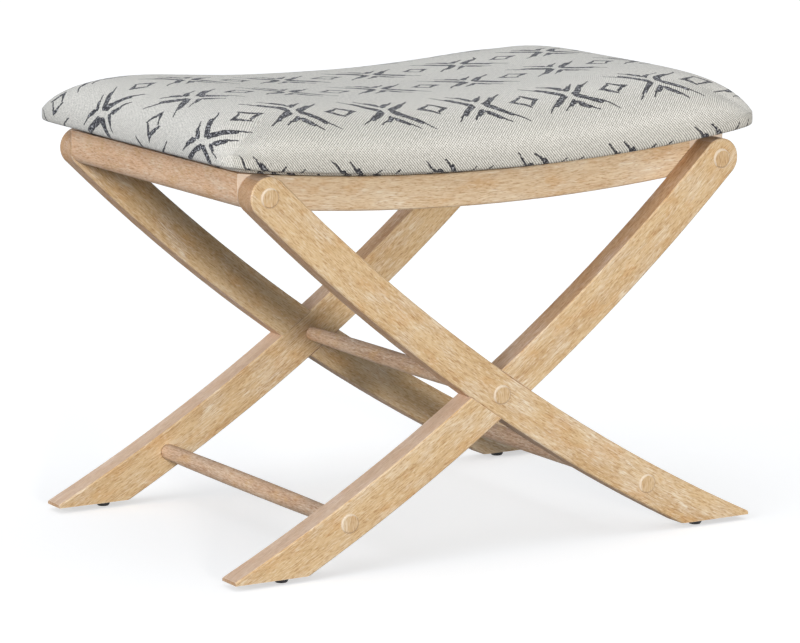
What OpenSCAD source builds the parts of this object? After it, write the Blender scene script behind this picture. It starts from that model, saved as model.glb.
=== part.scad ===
// Bed bench: a saddle seat on two X frames of curved legs.
// Each X frame is two bent leg boards, half lapped where they cross. Three turned stretchers tie
// the frames together, and four rails between the leg tops carry the upholstered seat.
// X runs along the bench, Y from front to back, Z up. The origin is on the floor at the middle.

/* [X frames] */
// Depth over the outer faces of the two X frames
frame_d = 452; // [380:1:560]
// Thickness of a leg board
leg_t = 30.5; // [27:0.5:38]
// Width of a leg board across its face
leg_w = 44; // [38:1:56]
// Radius that the centre line of a leg is bent to
leg_bend_r = 2280; // [1600:10:4000]
// Half the distance between the two top pegs of a frame
top_peg_x = 286; // [240:1:330]
// Height of the top pegs above the floor
top_peg_z = 416; // [380:1:460]
// Height of the crossing above the floor
cross_z = 178; // [160:1:200]
// Height of the lower pegs above the floor
low_peg_z = 57.5; // [50:0.5:70]
// Height of the blunt end at a toe
toe_blunt = 4; // [1:0.5:8]
// Eased edge of the legs and rails
edge_ease = 1.5; // [0.5:0.25:2.5]
// Play between the two halves of a half lap
lap_play = 0.1; // [0.05:0.05:0.3]

/* [Stretchers] */
// Middle diameter of a turned stretcher
stretcher_d = 20; // [18:0.5:26]
// Diameter at the ends of the centre stretcher
centre_end_d = 16; // [14:0.5:18]
// Diameter at the ends of the two lower stretchers
low_end_d = 18; // [15:0.5:18]
// Radius of the rounded shoulder of a stretcher
shoulder_r = 4; // [2:0.5:5]
// Diameter of the stub tenon that seats in a leg
stub_d = 11; // [9:0.5:12]
// Length of the stub tenon
stub_l = 9; // [6:0.5:10]

/* [Pegs and leg fasteners] */
// Diameter of the wooden plugs that show as pegs
plug_d = 20.8; // [18:0.2:26]
// Depth that a plug enters the leg
plug_in = 6; // [4:0.5:7]
// Height that a plug stands proud
plug_proud = 1.2; // [0.4:0.2:2]
// Bevel round a plug
plug_bevel = 1; // [0.4:0.2:2]
// Diameter of a leg bolt
bolt_d = 6; // [5:0.5:8]
// Length of a leg bolt under its head
bolt_l = 58; // [50:1:70]
// Diameter of a leg bolt's head
bolt_head_d = 10; // [9:0.5:13]
// Height of a leg bolt's head
bolt_head_h = 5.5; // [4:0.5:6]
// Diameter of a leg bolt's washer
washer_d = 16; // [13:0.5:17.5]
// Thickness of a leg bolt's washer
washer_t = 1.2; // [0.8:0.2:1.6]
// Diameter of a barrel nut
barrel_d = 10; // [9:0.5:12]
// Length of a barrel nut
barrel_l = 14; // [12:1:18]
// Distance of a barrel nut from the end of its rail
barrel_in = 30; // [22:1:36]
// Diameter of a stretcher screw
screw_d = 5; // [4:0.5:6]
// Length of a stretcher screw under its head
screw_l = 66; // [50:1:80]
// Diameter of a stretcher screw's head
screw_head_d = 9.5; // [8:0.5:11]
// Height of a stretcher screw's head
screw_head_h = 3.2; // [2:0.2:4]

/* [Seat frame] */
// How far the front rail's underside lies below the top pegs at the middle
seat_drop = 33; // [20:1:45]
// Radius of the saddle curve at the rails' underside
seat_r = 2400; // [1600:10:4000]
// Height of the rails
rail_h = 36.5; // [32:0.5:50]
// Thickness of the front and back rails
rail_t = 18; // [15:1:24]
// Thickness of the end rails
end_rail_t = 44; // [36:1:50]
// Rounding along the lower outer edge of an end rail
end_rail_round = 14; // [4:1:20]
// Length of the front and back rails' tenons
tenon_l = 10; // [6:1:12]
// Thickness of the front and back rails' tenons
tenon_t = 8; // [6:0.5:10]
// Height of the front and back rails' tenons
tenon_h = 20; // [14:1:22]
// Play round a tenon in its mortise
tenon_play = 0.1; // [0.05:0.05:0.3]
// Length of a corner block along each rail
block_l = 50; // [44:1:64]
// Height of a corner block
block_h = 22; // [20:1:26]
// Width of the blunt tips of a corner block
block_tip = 6; // [4:1:10]
// Diameter of the corner block screws
block_screw_d = 4; // [3.5:0.5:4.5]
// Length of the corner block screws under their heads
block_screw_l = 28; // [20:1:30]
// Diameter of the corner block screws' heads
block_head_d = 7.5; // [6:0.5:8]
// Height of the corner block screws' heads
block_head_h = 2.5; // [2:0.5:3]
// Wood left under the head of a corner block screw
block_seat = 12; // [9:1:14]

/* [Seat] */
// How far the cushion's widest line stands out past the end rails
end_over = 34; // [20:1:60]
// How far the cushion's widest line stands out past the front and back rails
side_over = 37; // [25:0.5:60]
// Height of the overhang's flat underside above the rails
under_up = 6.6; // [5:0.2:10]
// Height of the widest line above that underside
lip_h = 8.4; // [8.2:0.2:12]
// How far the rounding of the lower edge reaches in from the widest line
lip_in = 9; // [9:0.5:16]
// Height of the crown above the widest line at the middle
crown_h = 64; // [50:1:90]
// How much fuller the cushion stands at its two ends
end_rise = 8; // [0:1:40]
// Thickness of the curved plywood seat board
board_t = 12; // [9:1:14]
// How far the seat board's edge lies inside the rails' outer faces
board_in = 2.5; // [2:0.5:6]
// Thickness of the cover cloth
cloth_t = 1.5; // [1:0.1:2]
// Width of the cloth turned under the seat board
hem_w = 24; // [15:1:30]
// Thickness of the wadding under the cloth
wadding_t = 6; // [3:0.5:7]
// Thickness of the dust cover
dust_t = 0.8; // [0.6:0.1:1.2]
// Diameter of the seat screws
seat_screw_d = 4.5; // [4:0.5:5]
// Depth that a seat screw bites in the seat board
seat_screw_bite = 8; // [5:0.5:8.5]
// Diameter of a seat screw's head
seat_head_d = 8.5; // [8:0.5:9]
// Height of a seat screw's head
seat_head_h = 2.8; // [2:0.2:3.4]
// Distance of a seat screw from the two rails
seat_screw_in = 15; // [13:0.5:16]

/* [Glides] */
// Height of a glide, and of the leg's underside above the floor
glide_h = 6; // [4:0.5:9]
// Diameter of a glide
glide_d = 16; // [13:0.5:22]
// Distance of a glide's axis from the heel of the leg
glide_in = 27; // [20:0.5:34]
// Diameter of a glide's nail
nail_d = 2; // [1.6:0.1:2.6]
// Depth that a nail is driven into the leg
nail_l = 14; // [10:0.5:18]
// Diameter of a nail's head
nail_head_d = 6; // [5:0.5:7]
// Height of a nail's head
nail_head_h = 1.2; // [0.8:0.2:1.6]
// Depth that a nail's head lies sunk in its glide
nail_sunk = 1; // [0.6:0.2:1.4]

/* [Hidden] */

// Overrun of every cut, and the play round a pin, plug or screw
cut = 1;
pin_play = 0.05;
layer_gap = 0.3;
head_gap = 0.5;
// How far a leg's round end stands out past its edges and lies back from its faces, which keeps
// the surfaces that meet there apart
end_swell = 0.15;
end_relief = 0.01;

// Facets of the large arcs and of the small round parts
arc_fn = 720;
round_fn = 48;

// Shares that shape the cushion: squareness of its plan and of the seat board's, and fullness
// along and across
plan_share = 13;
board_share = 40;
// Softness of the cushion's corners, as a share of its half size
corner_soft = 0.04;
length_share = 5;
depth_share = 5;
// Angles of the rings round the cushion's lower edge, from the widest line
lip_angles = [45, 90];
// Cells of the cushion grid along and across
cells_x = 20;
cells_y = 12;
// Steps along half a turned stretcher
turn_steps = 10;
// Share of a corner block's length at which its screws stand
block_screw_share = 0.62;
// Share of a glide's diameter that reaches the floor, and of its height that is straight
glide_foot_share = 0.78;
glide_side_share = 0.45;

wood = "BurlyWood";
steel = "Silver";
zinc = "DarkGray";

// Centre of a leg's bend, from the top peg, the crossing and the radius
peg_chord = norm([top_peg_x, top_peg_z - cross_z]);
bend_reach = sqrt(pow(leg_bend_r, 2) - pow(peg_chord / 2, 2));
bend_x = -top_peg_x / 2 + bend_reach * (top_peg_z - cross_z) / peg_chord;
bend_z = (top_peg_z + cross_z) / 2 + bend_reach * top_peg_x / peg_chord;

// Where a leg's centre line and edges pass a height
function arc_x(r, z) = bend_x - sqrt(pow(r, 2) - pow(bend_z - z, 2));
low_peg_x = arc_x(leg_bend_r, low_peg_z);
heel_x = arc_x(leg_bend_r + leg_w / 2, glide_h);
toe_x = arc_x(leg_bend_r - leg_w / 2, glide_h + toe_blunt);
glide_x = heel_x + glide_in;

// Angles of the bend's radius at the top peg and past the toe
top_a = atan2(top_peg_z - bend_z, -top_peg_x - bend_x);
toe_a = atan2(-bend_z, arc_x(leg_bend_r - leg_w / 2, 0) + leg_w / 2 - bend_x);

// Faces of the X frames and of the seat frame, as distances from the middle
outer_y = frame_d / 2;
inner_y = outer_y - leg_t;
frame_x = top_peg_x + leg_w / 2;
rail_inner_x = frame_x - end_rail_t;
rail_inner_y = inner_y - rail_t;

// Depths of the counterbores behind the plugs
bolt_bore_l = plug_in + head_gap + bolt_head_h + washer_t;
screw_bore_l = plug_in + head_gap + screw_head_h;
plug_y = outer_y - plug_in;

// The saddle: every layer of the seat is concentric with the rails' underside
rail_z = top_peg_z - seat_drop;
seat_cz = rail_z + seat_r;
rail_top_r = seat_r - rail_h;
function saddle_z(x, up) = seat_cz - sqrt(pow(rail_top_r - up, 2) - pow(x, 2));

// Places that carry the pegs, left and right and at three heights
top_places = [[-top_peg_x, top_peg_z], [top_peg_x, top_peg_z]];
stretcher_places = [[0, cross_z], [-low_peg_x, low_peg_z], [low_peg_x, low_peg_z]];

// Sides of the bench: -1 is left or front, 1 is right or back
sides = [-1, 1];

// A section with eased corners, centred on the origin, and the half of it that has x above zero
module eased_section(w, t) {
    e = edge_ease;
    polygon([[-w / 2 + e, -t / 2], [w / 2 - e, -t / 2], [w / 2, -t / 2 + e], [w / 2, t / 2 - e],
        [w / 2 - e, t / 2], [-w / 2 + e, t / 2], [-w / 2, t / 2 - e], [-w / 2, -t / 2 + e]]);
}
module eased_half_section(w, t) {
    e = edge_ease;
    polygon([[0, -t / 2], [w / 2 - e, -t / 2], [w / 2, -t / 2 + e], [w / 2, t / 2 - e],
        [w / 2 - e, t / 2], [0, t / 2]]);
}

// A stretch of the leg's bend, flat in the XY plane, with a section as its child
module bend_sweep() {
    translate([bend_x, bend_z]) rotate(top_a)
        rotate_extrude(angle = toe_a - top_a, $fn = arc_fn)
            translate([leg_bend_r, 0]) children();
}

// A leg board with its round top end, lying flat with its toe to the right
module leg_blank() {
    difference() {
        union() {
            bend_sweep() eased_section(leg_w, leg_t);
            translate([-top_peg_x, top_peg_z]) rotate_extrude($fn = round_fn * 2)
                eased_half_section(leg_w + end_swell * 2, leg_t - end_relief * 2);
        }
        translate([0, -leg_w * 2, -leg_t])
            cube([toe_x + leg_w * 4, leg_w * 2 + glide_h, leg_t * 2]);
        translate([toe_x, -leg_w * 2, -leg_t])
            cube([leg_w * 4, leg_w * 4 + glide_h, leg_t * 2]);
    }
}

// The half lap's housing: half the thickness, as wide as the other leg
module lap_housing() {
    mirror([1, 0, 0]) bend_sweep()
        translate([-leg_w / 2 - lap_play, 0]) square([leg_w + lap_play * 2, leg_t]);
}

// The bores of one leg, along its thickness: outer face at +leg_t / 2
module leg_bores(own_x) {
    translate([-top_peg_x, top_peg_z, leg_t / 2 - bolt_bore_l])
        cylinder(h = bolt_bore_l + cut, d = plug_d, $fn = round_fn);
    translate([-top_peg_x, top_peg_z, -leg_t / 2 - cut])
        cylinder(h = leg_t, d = bolt_d + pin_play * 2, $fn = round_fn);
    for (place = [[0, cross_z], [own_x, low_peg_z]]) translate([place[0], place[1], 0]) {
        translate([0, 0, leg_t / 2 - screw_bore_l])
            cylinder(h = screw_bore_l + cut, d = plug_d, $fn = round_fn);
        translate([0, 0, -leg_t / 2 - cut])
            cylinder(h = stub_l + cut, d = stub_d + pin_play * 2, $fn = round_fn);
        translate([0, 0, -leg_t / 2 - cut])
            cylinder(h = leg_t, d = screw_d + pin_play * 2, $fn = round_fn);
    }
    translate([glide_x, glide_h, 0]) rotate([-90, 0, 0]) translate([0, 0, -cut])
        cylinder(h = nail_l + cut, d = nail_d + pin_play * 2, $fn = round_fn);
}

// A leg that runs from the top left to the bottom right: on top keeps its outer half whole
module leg(outer_whole) {
    difference() {
        leg_blank();
        translate([0, 0, outer_whole ? -leg_t : 0]) lap_housing();
        leg_bores(low_peg_x);
    }
}

// Stands a flat leg up in the front frame, or mirrors it to the back one
module in_frame(back) {
    mirror([0, back ? 1 : 0, 0]) translate([0, -outer_y + leg_t / 2, 0]) rotate([90, 0, 0])
        children();
}

// A leg's name gives the corner that its top end is in
module front_left_leg() { color(wood) in_frame(false) leg(true); }
module back_left_leg() { color(wood) in_frame(true) leg(true); }
module front_right_leg() {
    color(wood) in_frame(false) mirror([1, 0, 0]) leg(false);
}
module back_right_leg() {
    color(wood) in_frame(true) mirror([1, 0, 0]) leg(false);
}

// A turned stretcher: slimmer at its ends, with rounded shoulders and stub tenons
module stretcher(end_d) {
    half_l = inner_y;
    body_l = half_l - shoulder_r;
    end_r = end_d / 2;
    swell = (stretcher_d - end_d) / 2;
    shoulder = [for (a = [0 : 15 : 90])
        [end_r - shoulder_r + shoulder_r * cos(a), body_l + shoulder_r * sin(a)]];
    body = [for (i = [0 : turn_steps - 1])
        let (s = i / turn_steps) [end_r + swell * (1 - pow(s, 2)), body_l * s]];
    difference() {
        for (side = sides) rotate([side * 90, 0, 0]) rotate_extrude($fn = round_fn)
            polygon(concat([[0, 0]], body, shoulder,
                [[stub_d / 2, half_l], [stub_d / 2, half_l + stub_l], [0, half_l + stub_l]]));
        for (side = sides) rotate([side * 90, 0, 0])
            translate([0, 0, outer_y - screw_bore_l - screw_l - head_gap])
                cylinder(h = screw_l + leg_t, d = screw_d + pin_play * 2, $fn = round_fn);
    }
}

module centre_stretcher() {
    color(wood) translate([0, 0, cross_z]) stretcher(centre_end_d);
}
module left_stretcher() {
    color(wood) translate([-low_peg_x, 0, low_peg_z]) stretcher(low_end_d);
}
module right_stretcher() {
    color(wood) translate([low_peg_x, 0, low_peg_z]) stretcher(low_end_d);
}

// A screw or bolt with its head's underside on the XY plane and its shank along -Z
module fastener(d, l, head_d, head_h) {
    rotate_extrude($fn = round_fn)
        polygon([[0, -l], [d / 2 - d / 4, -l], [d / 2, -l + d / 2], [d / 2, 0], [head_d / 2, 0],
            [head_d / 2, head_h * 2 / 3], [head_d / 2 - head_h / 3, head_h], [0, head_h]]);
}

// Places its child with +Z outwards on the outer face of each X frame
module on_frames(places, inset) {
    for (place = places, side = sides)
        translate([place[0], side * (outer_y - inset), place[1]]) rotate([-side * 90, 0, 0])
            children();
}

module stretcher_screws() {
    color(steel) on_frames(stretcher_places, screw_bore_l)
        fastener(screw_d, screw_l, screw_head_d, screw_head_h);
}
module leg_bolts() {
    color(steel) on_frames(top_places, bolt_bore_l - washer_t)
        fastener(bolt_d, bolt_l, bolt_head_d, bolt_head_h);
}
module leg_bolt_washers() {
    color(steel) on_frames(top_places, bolt_bore_l) difference() {
        cylinder(h = washer_t, d = washer_d, $fn = round_fn);
        translate([0, 0, -cut])
            cylinder(h = washer_t + cut * 2, d = bolt_d + pin_play * 2, $fn = round_fn);
    }
}

// A barrel nut stands upright in the end rail, with the bolt through it
module barrel_nuts() {
    color(zinc) for (place = top_places, side = sides)
        translate([place[0], side * (inner_y - barrel_in), place[1]]) difference() {
            translate([0, 0, -barrel_l / 2]) cylinder(h = barrel_l, d = barrel_d, $fn = round_fn);
            rotate([90, 0, 0]) translate([0, 0, -barrel_d])
                cylinder(h = barrel_d * 2, d = bolt_d + pin_play * 2, $fn = round_fn);
        }
}

// The wooden plugs that cover the bolts and screws and show as pegs
module plugs(side) {
    r = plug_d / 2 - pin_play;
    color(wood) for (place = concat(top_places, stretcher_places))
        translate([place[0], side * plug_y, place[1]]) rotate([-side * 90, 0, 0])
            rotate_extrude($fn = round_fn)
                polygon([[0, 0], [r, 0], [r, plug_in + plug_proud - plug_bevel],
                    [r - plug_bevel, plug_in + plug_proud], [0, plug_in + plug_proud]]);
}
module front_plugs() { plugs(-1); }
module back_plugs() { plugs(1); }

// A curved layer of the seat between two heights above the rails, as deep as depth
module saddle_layer(up_low, up_high, depth) {
    half_a = asin(frame_x * 2 / seat_r);
    translate([0, 0, seat_cz]) rotate([90, 0, 0]) rotate(-90 - half_a)
        rotate_extrude(angle = half_a * 2, $fn = arc_fn)
            translate([rail_top_r - up_high, -depth / 2]) square([up_high - up_low, depth]);
}

// A front or back rail: saddle curved, with a tenon at each end
module saddle_rail(side) {
    half_a = asin(frame_x * 2 / seat_r);
    rail_y = side * (inner_y - rail_t / 2);
    tenon_z = saddle_z(rail_inner_x, -rail_h / 2);
    color(wood) difference() {
        union() {
            intersection() {
                translate([0, rail_y, seat_cz]) rotate([90, 0, 0]) rotate(-90 - half_a)
                    rotate_extrude(angle = half_a * 2, $fn = arc_fn)
                        translate([seat_r - rail_h / 2, 0]) eased_section(rail_h, rail_t);
                translate([-rail_inner_x, rail_y - rail_t, rail_z - rail_h])
                    cube([rail_inner_x * 2, rail_t * 2, rail_h * 4]);
            }
            for (end = sides)
                translate([end * rail_inner_x - tenon_l, rail_y - tenon_t / 2,
                    tenon_z - tenon_h / 2])
                    cube([tenon_l * 2, tenon_t, tenon_h]);
        }
        in_corners() block_screw_holes();
    }
}
module front_rail() { saddle_rail(-1); }
module back_rail() { saddle_rail(1); }

// An end rail: its top follows the saddle and its lower outer edge is rounded
module end_rail(end) {
    play = tenon_play;
    tenon_z = saddle_z(rail_inner_x, -rail_h / 2);
    round_x = frame_x - end_rail_round;
    round_z = seat_cz - sqrt(pow(seat_r - end_rail_round, 2) - pow(round_x, 2));
    bolt_hole_l = bolt_l + washer_t + bolt_bore_l - leg_t + head_gap;
    color(wood) mirror([end < 0 ? 1 : 0, 0, 0]) difference() {
        intersection() {
            translate([0, 0, seat_cz]) rotate([90, 0, 0]) difference() {
                cylinder(h = inner_y * 2, r = seat_r, center = true, $fn = arc_fn);
                cylinder(h = inner_y * 4, r = rail_top_r, center = true, $fn = arc_fn);
            }
            union() {
                translate([rail_inner_x, -inner_y, rail_z])
                    cube([round_x - rail_inner_x, inner_y * 2, rail_h * 3]);
                translate([rail_inner_x, -inner_y, round_z])
                    cube([end_rail_t, inner_y * 2, rail_h * 3]);
                translate([round_x, 0, round_z]) rotate([90, 0, 0]) cylinder(h = inner_y * 2,
                    r = end_rail_round, center = true, $fn = round_fn * 2);
            }
        }
        for (side = sides) {
            translate([rail_inner_x - cut, side * (inner_y - rail_t / 2) - tenon_t / 2 - play,
                tenon_z - tenon_h / 2 - play])
                cube([tenon_l + cut + play, tenon_t + play * 2, tenon_h + play * 2]);
            translate([top_peg_x, side * inner_y, top_peg_z]) rotate([side * 90, 0, 0])
                translate([0, 0, -cut])
                    cylinder(h = bolt_hole_l + cut, d = bolt_d + pin_play * 2, $fn = round_fn);
            translate([top_peg_x, side * (inner_y - barrel_in), rail_z - cut]) cylinder(
                h = top_peg_z - rail_z + barrel_l / 2 + cut, d = barrel_d + pin_play * 2,
                $fn = round_fn);
        }
        in_corners() block_screw_holes();
    }
}
module left_end_rail() { end_rail(-1); }
module right_end_rail() { end_rail(1); }

// Heights of the corner blocks and of their two screws
block_top = saddle_z(rail_inner_x, -dust_t);
block_z = block_top - block_h;
block_screw_zs = [block_z + block_head_d / 2 + head_gap * 2,
    block_top - block_head_d / 2 - head_gap * 4];
block_screw_out = block_l * block_screw_share;

// Puts its child in each inner corner, with the corner at the origin and the block along -X, -Y
module in_corners() {
    for (end = sides, side = sides)
        scale([end, side, 1]) translate([rail_inner_x, rail_inner_y, 0]) children();
}

// A seat screw's shank, from under the block into the board
seat_shank_l = saddle_z(rail_inner_x - seat_screw_in, cloth_t + seat_screw_bite) - block_z;

// The holes of a block's two screws, on through the block into the rails
module block_screw_holes() {
    d = block_screw_d + pin_play * 2;
    l = block_l - block_seat + block_screw_l + head_gap;
    translate([-block_l, -block_screw_out, block_screw_zs[0]]) rotate([0, 90, 0])
        cylinder(h = l, d = d, $fn = round_fn);
    translate([-block_screw_out, -block_l, block_screw_zs[1]]) rotate([-90, 0, 0])
        cylinder(h = l, d = d, $fn = round_fn);
}

module block_bores() {
    head = block_head_d + head_gap * 2;
    translate([-seat_screw_in, -seat_screw_in, block_z - cut])
        cylinder(h = block_h * 2, d = seat_screw_d + pin_play * 2, $fn = round_fn);
    block_screw_holes();
    translate([-block_l, -block_screw_out, block_screw_zs[0]]) rotate([0, 90, 0])
        cylinder(h = block_l - block_seat, d = head, $fn = round_fn);
    translate([-block_screw_out, -block_l, block_screw_zs[1]]) rotate([-90, 0, 0])
        cylinder(h = block_l - block_seat, d = head, $fn = round_fn);
}

module corner_block() {
    l = block_l;
    tip = block_tip;
    difference() {
        translate([0, 0, block_z]) linear_extrude(block_h)
            polygon([[0, 0], [-l, 0], [-l, -tip], [-tip, -l], [0, -l]]);
        block_bores();
    }
}

// The blocks' tops are hollowed to the saddle, so that they bear on the dust cover
module corner_blocks() {
    color(wood) intersection() {
        in_corners() corner_block();
        saddle_layer(-rail_h * 2, -dust_t, frame_d);
    }
}

module corner_block_screws() {
    color(steel) in_corners() {
        translate([-block_seat, -block_screw_out, block_screw_zs[0]]) rotate([0, -90, 0])
            fastener(block_screw_d, block_screw_l, block_head_d, block_head_h);
        translate([-block_screw_out, -block_seat, block_screw_zs[1]]) rotate([90, 0, 0])
            fastener(block_screw_d, block_screw_l, block_head_d, block_head_h);
    }
}

module seat_screws() {
    color(steel) in_corners() translate([-seat_screw_in, -seat_screw_in, block_z])
        rotate([180, 0, 0])
            fastener(seat_screw_d, seat_shank_l, seat_head_d, seat_head_h);
}

module seat_screw_holes() {
    in_corners() translate([-seat_screw_in, -seat_screw_in, block_z])
        cylinder(h = seat_shank_l + head_gap, d = seat_screw_d + pin_play * 2, $fn = round_fn);
}

// Half sizes and height of the cushion's widest line, and half sizes of the seat board and of the
// cloth round the board's edge
nose_half = [frame_x + end_over, inner_y + side_over];
nose_up = under_up + lip_h;
board_half = [frame_x - board_in, inner_y - board_in];
under_half = board_half + [layer_gap, layer_gap];

// The cushion's plan: a point of the unit square pulled in to a rounded rectangle
function pull(p, share) = let (m = max(abs(p[0]), abs(p[1])))
    m == 0 ? [0, 0] : p * pow(pow(abs(p[0] / m), share) + pow(abs(p[1] / m), share), -1 / share);

// Grid lines of the unit square, closer together near its edges
function line(i, cells) = sin(180 * i / cells - 90);
function cell(i, j) = [line(i, cells_x), line(j, cells_y)];

// The rim of the grid, once round, anticlockwise from above
rim = concat([for (i = [0 : cells_x - 1]) [i, 0]], [for (j = [0 : cells_y - 1]) [cells_x, j]],
    [for (i = [cells_x : -1 : 1]) [i, cells_y]], [for (j = [cells_y : -1 : 1]) [0, j]]);
rim_n = len(rim);
grid_n = (cells_x + 1) * (cells_y + 1);

// How full the cushion is at a point of its plan. Round the diagonals the corners are softened.
function fullness(uv) = let (
    low = min(abs(uv[0]), abs(uv[1])),
    high = max(abs(uv[0]), abs(uv[1])),
    near = high == 0 ? 0 : max(0, 1 - norm([1 - low / high, corner_soft])),
    p = uv * pow(1 + pow(near, plan_share), 1 / plan_share))
    sqrt(max(0, 1 - pow(abs(p[0]), length_share)) * max(0, 1 - pow(abs(p[1]), depth_share)));

// A point of the cushion's top, set in by depth from the cloth's outer face
function top_point(p, depth) = let (
    uv = pull(p, plan_share),
    x = (nose_half[0] - depth) * uv[0],
    y = (nose_half[1] - depth) * uv[1],
    full = fullness(uv),
    up = nose_up + (crown_h + end_rise * pow(uv[0], 2) - depth) * full)
    [x, y, saddle_z(x, up)];
function top_grid(depth) =
    [for (j = [0 : cells_y]) for (i = [0 : cells_x]) top_point(cell(i, j), depth)];

// A ring round the lower edge: angle is 0 at the widest line and 90 on the flat underside
function lip_ring(angle, depth) = [for (ij = rim) let (
    uv = pull(cell(ij[0], ij[1]), plan_share),
    half = nose_half - [depth, depth] - [1, 1] * (lip_in - depth) * (1 - cos(angle)),
    x = half[0] * uv[0])
    [x, half[1] * uv[1], saddle_z(x, nose_up - (lip_h - depth) * sin(angle))]];

// A level ring or grid with the seat board's plan, at a height above the rails
function board_point(p, half, up) = let (uv = pull(p, board_share), x = half[0] * uv[0])
    [x, half[1] * uv[1], saddle_z(x, up)];
function level_ring(half, up) = [for (ij = rim) board_point(cell(ij[0], ij[1]), half, up)];
function level_grid(half, up) =
    [for (j = [0 : cells_y]) for (i = [0 : cells_x]) board_point(cell(i, j), half, up)];

// Triangles of a grid that starts at point n, seen from above when up is true
function grid_faces(n, up) = [for (j = [0 : cells_y - 1]) for (i = [0 : cells_x - 1])
    let (a = n + j * (cells_x + 1) + i, b = a + 1, c = b + cells_x + 1, d = c - 1)
    each up ? [[a, d, c], [a, c, b]] : [[a, c, d], [a, b, c]]];

// Triangles between two rings of point numbers, the second below the first on an outside
function ring_faces(a, b) = [for (k = [0 : rim_n - 1]) let (m = (k + 1) % rim_n)
    each [[a[k], a[m], b[m]], [a[k], b[m], b[k]]]];
function rim_ids(n) = [for (ij = rim) n + ij[1] * (cells_x + 1) + ij[0]];
function ring_ids(n) = [for (k = [0 : rim_n - 1]) n + k];
function chain_faces(rings) =
    [for (k = [0 : len(rings) - 2]) each ring_faces(rings[k], rings[k + 1])];

// A shell of the cushion between two depths: foot rings close it at or under the seat board
module cushion_shell(outer, inner, foot) {
    n = len(lip_angles);
    outer_rings = [for (angle = lip_angles) lip_ring(angle, outer)];
    inner_rings = [for (k = [n - 1 : -1 : 0]) lip_ring(lip_angles[k], inner)];
    rings = concat(outer_rings, foot, inner_rings);
    points = concat(top_grid(outer), [for (ring = rings) each ring], top_grid(inner));
    ids = [for (k = [0 : len(rings) - 1]) ring_ids(grid_n + k * rim_n)];
    last = grid_n + len(rings) * rim_n;
    polyhedron(points = points, faces = concat(grid_faces(0, true),
        chain_faces(concat([rim_ids(0)], ids, [rim_ids(last)])), grid_faces(last, false)));
}

// The cover: cloth over the whole cushion, down the seat board's edge and turned under it
module cushion_cover() {
    wall_half = under_half + [cloth_t, cloth_t];
    hem_half = under_half - [hem_w, hem_w];
    color("Gainsboro") cushion_shell(0, cloth_t, [level_ring(wall_half, under_up),
        level_ring(wall_half, 0), level_ring(hem_half, 0), level_ring(hem_half, cloth_t),
        level_ring(under_half, cloth_t), level_ring(under_half, under_up + cloth_t)]);
}

// The wadding: a soft layer over the foam and under its overhang, up to the seat board's edge
wadding_out = cloth_t + layer_gap;
wadding_in = wadding_out + wadding_t;
module wadding() {
    color("White") cushion_shell(wadding_out, wadding_in,
        [level_ring(under_half, under_up + wadding_out),
        level_ring(under_half, under_up + wadding_in)]);
}

// The foam: crowned, on the seat board and out past its edges
module foam_pad() {
    depth = wadding_in + layer_gap;
    base_up = cloth_t + board_t + layer_gap;
    rings = concat([for (angle = lip_angles) lip_ring(angle, depth)],
        [level_ring(under_half, under_up + depth)]);
    points = concat(top_grid(depth), [for (ring = rings) each ring],
        level_grid(under_half, base_up));
    ids = [for (k = [0 : len(rings) - 1]) ring_ids(grid_n + k * rim_n)];
    last = grid_n + len(rings) * rim_n;
    color("Khaki") polyhedron(points = points, faces = concat(grid_faces(0, true),
        chain_faces(concat([rim_ids(0)], ids, [rim_ids(last)])), grid_faces(last, false)));
}

// The seat board: plywood bent to the saddle, with small rounded corners
module seat_board() {
    outline = [for (ij = rim) let (p = pull(cell(ij[0], ij[1]), board_share))
        [board_half[0] * p[0], board_half[1] * p[1]]];
    color("Tan") difference() {
        intersection() {
            saddle_layer(cloth_t, cloth_t + board_t, board_half[1] * 4);
            translate([0, 0, rail_z]) linear_extrude(rail_h * 4) polygon(outline);
        }
        seat_screw_holes();
    }
}

// The dust cover: thin black cloth under the seat, inside the rails
module dust_cover() {
    half = [rail_inner_x - head_gap, rail_inner_y - head_gap];
    color("DimGray") difference() {
        intersection() {
            saddle_layer(-dust_t, 0, half[1] * 2);
            translate([-half[0], -half[1], rail_z])
                cube([half[0] * 2, half[1] * 2, rail_h * 4]);
        }
        seat_screw_holes();
    }
}

// Places its child under each of the four legs
module under_legs() {
    for (end = sides, side = sides)
        translate([end * glide_x, side * (outer_y - leg_t / 2), 0]) children();
}

// A glide: a domed disc with a sunk hole for its nail
module glide_pads() {
    r = glide_d / 2;
    side_z = glide_h * (1 - glide_side_share);
    color("DimGray") under_legs() difference() {
        rotate_extrude($fn = round_fn) polygon([[0, 0], [r * glide_foot_share, 0],
            [r * (1 + glide_foot_share) / 2, side_z / 3], [r, side_z], [r, glide_h], [0, glide_h]]);
        translate([0, 0, -cut])
            cylinder(h = glide_h + cut * 2, d = nail_d + pin_play * 2, $fn = round_fn);
        translate([0, 0, -cut]) cylinder(h = cut + nail_sunk + nail_head_h,
            d = nail_head_d + pin_play * 2, $fn = round_fn);
    }
}

module glide_nails() {
    color(steel) under_legs() translate([0, 0, nail_sunk + nail_head_h]) rotate([180, 0, 0])
        fastener(nail_d, glide_h - nail_sunk - nail_head_h + nail_l - head_gap, nail_head_d,
            nail_head_h);
}

front_left_leg();
front_right_leg();
back_left_leg();
back_right_leg();
centre_stretcher();
left_stretcher();
right_stretcher();
stretcher_screws();
front_rail();
back_rail();
left_end_rail();
right_end_rail();
corner_blocks();
corner_block_screws();
leg_bolts();
leg_bolt_washers();
barrel_nuts();
front_plugs();
back_plugs();
glide_pads();
glide_nails();
seat_board();
seat_screws();
foam_pad();
wadding();
cushion_cover();
dust_cover();
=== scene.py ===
"""Bed bench: an upholstered saddle seat on two X frames of curved, half-lapped legs."""
import math

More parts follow.
